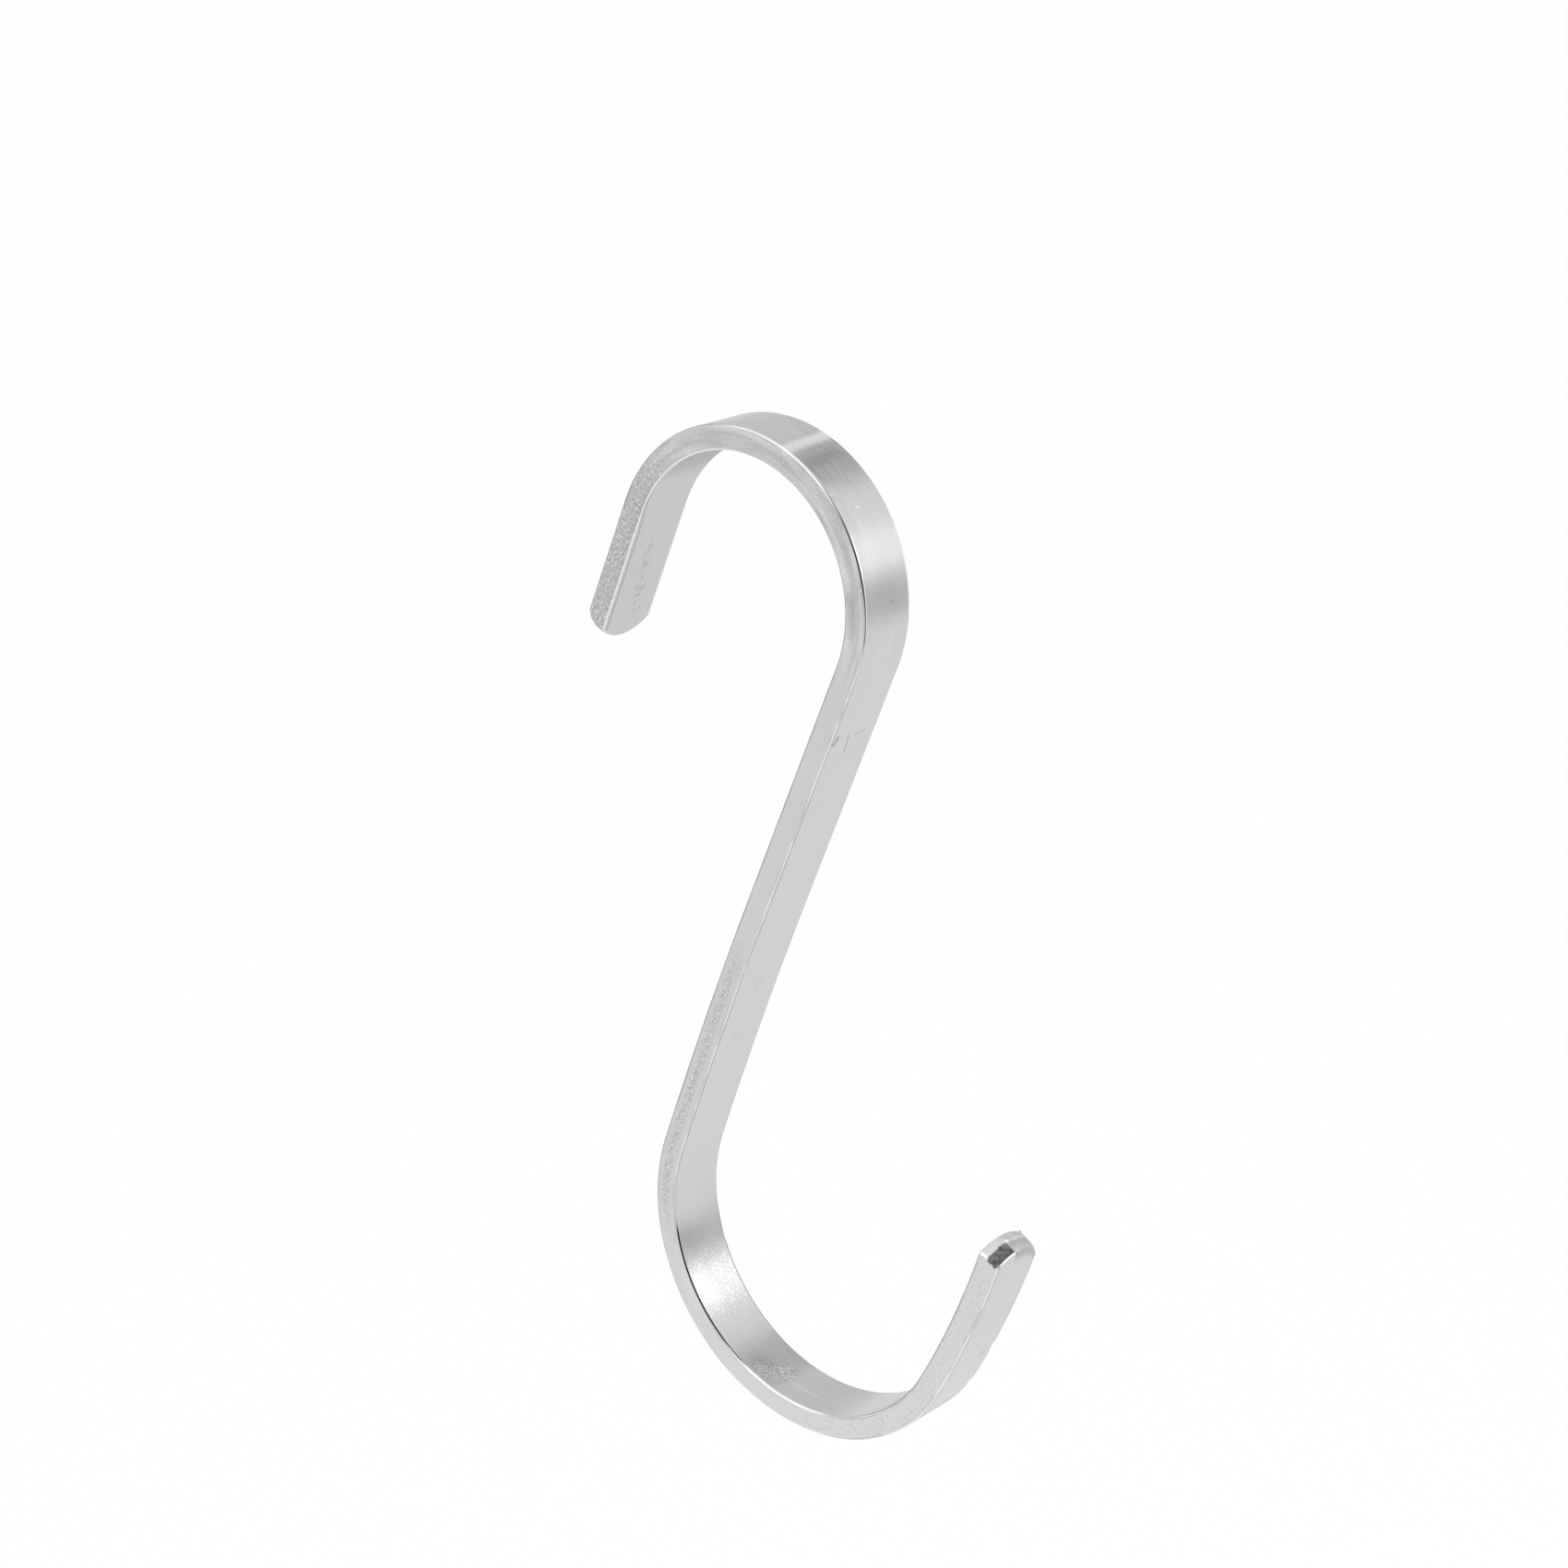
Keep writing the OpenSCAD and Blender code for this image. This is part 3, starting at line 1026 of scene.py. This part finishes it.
def direction(azimuth, elevation):
    """The unit vector towards a place round the hook. Azimuth 0 is in front, at -Y, and 90 is at +X."""
    a, e = math.radians(azimuth), math.radians(elevation)
    return Vector((math.sin(a) * math.cos(e), -math.cos(a) * math.cos(e), math.sin(e)))


def stand(piece, azimuth, elevation, distance):
    """Moves a studio piece to a place, facing the hook."""
    towards = direction(azimuth, elevation)
    piece.location = SUBJECT + towards * distance
    piece.rotation_euler = towards.to_track_quat("Z", "Y").to_euler()


def spread(distance, degrees):
    """The width that a piece at a distance needs to fill an angle, as seen from the hook."""
    return 2 * distance * math.tan(math.radians(degrees / 2))


def soft_lamp(title, azimuth, elevation, wide, high, radiance):
    """A rectangular lamp that adds that radiance to the white room behind it."""
    data = bpy.data.lights.new(title, "AREA")
    data.shape = "RECTANGLE"
    data.size = spread(LAMP_DISTANCE, wide)
    data.size_y = spread(LAMP_DISTANCE, high)
    data.energy = radiance * math.pi * data.size * data.size_y
    lamp = new_object(title, data)
    stand(lamp, azimuth, elevation, LAMP_DISTANCE)
    lamp.visible_camera = False
    return lamp


def flat_mesh(title, width, height, z=0.0):
    """A level rectangle round the Z axis, with its front side up."""
    corners = [(x * width / 2, y * height / 2, z) for x, y in ((-1, -1), (1, -1), (1, 1), (-1, 1))]
    mesh = bpy.data.meshes.new(title)
    mesh.from_pydata(corners, [], [(0, 1, 2, 3)])
    return mesh


def card_material(title, width, height, level):
    """An even grey that fades out towards the rims of a card."""
    material, nodes = new_material(title)
    x, y, _ = nodes.parts(nodes.add("ShaderNodeTexCoord", None, None, "Object"))
    inside_x = nodes.ramp(abs(x), width / 2, width / 2 - width * RIM_SHARE)
    inside_y = nodes.ramp(abs(y), height / 2, height / 2 - height * RIM_SHARE)
    inside = inside_x * inside_y
    clear = nodes.add("ShaderNodeBsdfTransparent")
    even = nodes.add("ShaderNodeEmission", None, {"Color": (level, level, level, 1), "Strength": 1.0})
    mixed = nodes.add("ShaderNodeMixShader", None, {0: inside, 1: clear, 2: even})
    nodes.add("ShaderNodeOutputMaterial", None, {"Surface": mixed})
    return material


def grey_card(title, azimuth, elevation, wide, high, level):
    """A card of an even grey that only the metal's reflections see."""
    width = spread(CARD_DISTANCE, wide)
    height = spread(CARD_DISTANCE, high)
    card = new_object(title, flat_mesh(title, width, height))
    stand(card, azimuth, elevation, CARD_DISTANCE)
    card.visible_camera = card.visible_diffuse = card.visible_shadow = False
    card.visible_transmission = card.visible_volume_scatter = False
    card.data.materials.append(card_material(title, width, height, level))
    return card


print("studio helpers ready")

# %% Lamps and cards
lamps = [
    # title, azimuth, elevation, width and height in degrees, radiance
    soft_lamp("overhead_lamp", -8, 37, 42, 36, 0.6),
    soft_lamp("back_lamp", 115, 15, 42, 22, 0.80),
]
cards = [
    # title, azimuth, elevation, width and height in degrees, grey
    grey_card("camera_flag", 46, 9, 84, 60, 0.04),
    grey_card("left_flag", -103, -8, 60, 50, 0.06),
    grey_card("top_flag", 177, 43, 38, 26, 0.48),
    grey_card("low_flag", 136, -11, 40, 25, 0.64),
    grey_card("side_flag", -143, 27, 40, 48, 0.75),
    grey_card("heel_flag", -146, -28, 34, 30, 0.60),
    grey_card("tip_flag", -163, 6, 30, 34, 0.50),
    grey_card("front_flag", -43, 5, 60, 30, 0.84),
    grey_card("floor_glow", -41, -36, 50, 30, 1.15),
]
print(f"{len(lamps)} lamps, {len(cards)} cards")

# %% [markdown]
# ## Floor and background
#
# The floor is plain and pale and lies well below the hook, so that its shadow there is wide and faint. To
# the camera and in reflections it is mostly an even white, and the rest of it is a matte that the lamps
# light, which keeps the shadow. The world is white as well, so the floor has no visible end.

# %% Floor and world
FLOOR_DROP = 0.45
FLOOR_SIZE = 80.0
MATTE_GREY = 0.95
EVEN_SHARE = 0.85


def seen_directly(nodes):
    """1 for rays from the camera, from a reflection or through glass."""
    camera = nodes.add("ShaderNodeLightPath", None, None, "Is Camera Ray")
    glossy, through_glass = camera.other("Is Glossy Ray"), camera.other("Is Transmission Ray")
    return nodes.math("MINIMUM", camera + glossy + through_glass, 1.0)


def floor_white():
    """A matte white that looks even and keeps a faint shadow."""
    material, nodes = new_material("floor_white")
    matte = nodes.add("ShaderNodeBsdfDiffuse", None, {"Color": (MATTE_GREY, MATTE_GREY, MATTE_GREY, 1)})
    even = nodes.add("ShaderNodeEmission", None, {"Color": (1, 1, 1, 1), "Strength": 1.0})
    share = seen_directly(nodes) * EVEN_SHARE
    mixed = nodes.add("ShaderNodeMixShader", None, {0: share, 1: matte, 2: even})
    nodes.add("ShaderNodeOutputMaterial", None, {"Surface": mixed})
    return material


floor = new_object("floor", flat_mesh("floor", FLOOR_SIZE, FLOOR_SIZE, lowest.z - FLOOR_DROP))
floor.data.materials.append(floor_white())

world = bpy.data.worlds.new("white_room")
bpy.context.scene.world = world
world.use_nodes = True
world.node_tree.nodes.clear()
sky = Nodes(world.node_tree)
background = sky.add("ShaderNodeBackground", None, {"Color": (1, 1, 1, 1), "Strength": 1.0})
sky.add("ShaderNodeOutputWorld", None, {"Surface": background})
bpy.context.scene.view_settings.view_transform = "Standard"
print("floor", FLOOR_DROP, "m below the hook")

# %% [markdown]
# ## The camera
#
# The photograph was taken from the right front, a little above the hook, with a long lens and slightly
# rolled. The camera's place is worked out from those angles, its distance and the point that it looks
# at. The focal length follows from how many pixels one unit of slope covers in the square picture.

# %% Camera
# The picture's side in pixels and the sensor's in millimetres
PICTURE = 1700
SENSOR = 36.0
# Angles in degrees, places in the hook's millimetres, and pixels for one unit of slope
VIEW_AZIMUTH = 42.804
VIEW_ELEVATION = 15.162
VIEW_ROLL = -5.469
VIEW_DISTANCE = 327.05
VIEW_TARGET = Vector((0.629, 0.0, -19.827))
VIEW_PIXELS = 3695.1

back = direction(VIEW_AZIMUTH, VIEW_ELEVATION)
level_right = direction(VIEW_AZIMUTH + 90, 0)
level_up = back.cross(level_right)
roll = math.radians(VIEW_ROLL)
right = level_right * math.cos(roll) + level_up * math.sin(roll)
up = back.cross(right)
camera_data = bpy.data.cameras.new("camera")
camera_data.sensor_width = SENSOR
camera_data.lens = SENSOR * VIEW_PIXELS / PICTURE
camera_data.clip_start = 0.01
camera_data.clip_end = 100.0
camera = new_object("camera", camera_data)
turn_to_view = Matrix((right, up, back)).transposed().to_4x4()
camera.matrix_world = Matrix.Translation((VIEW_TARGET + back * VIEW_DISTANCE) * MM) @ turn_to_view
bpy.context.scene.camera = camera
print(f"lens {camera_data.lens:.2f} mm")
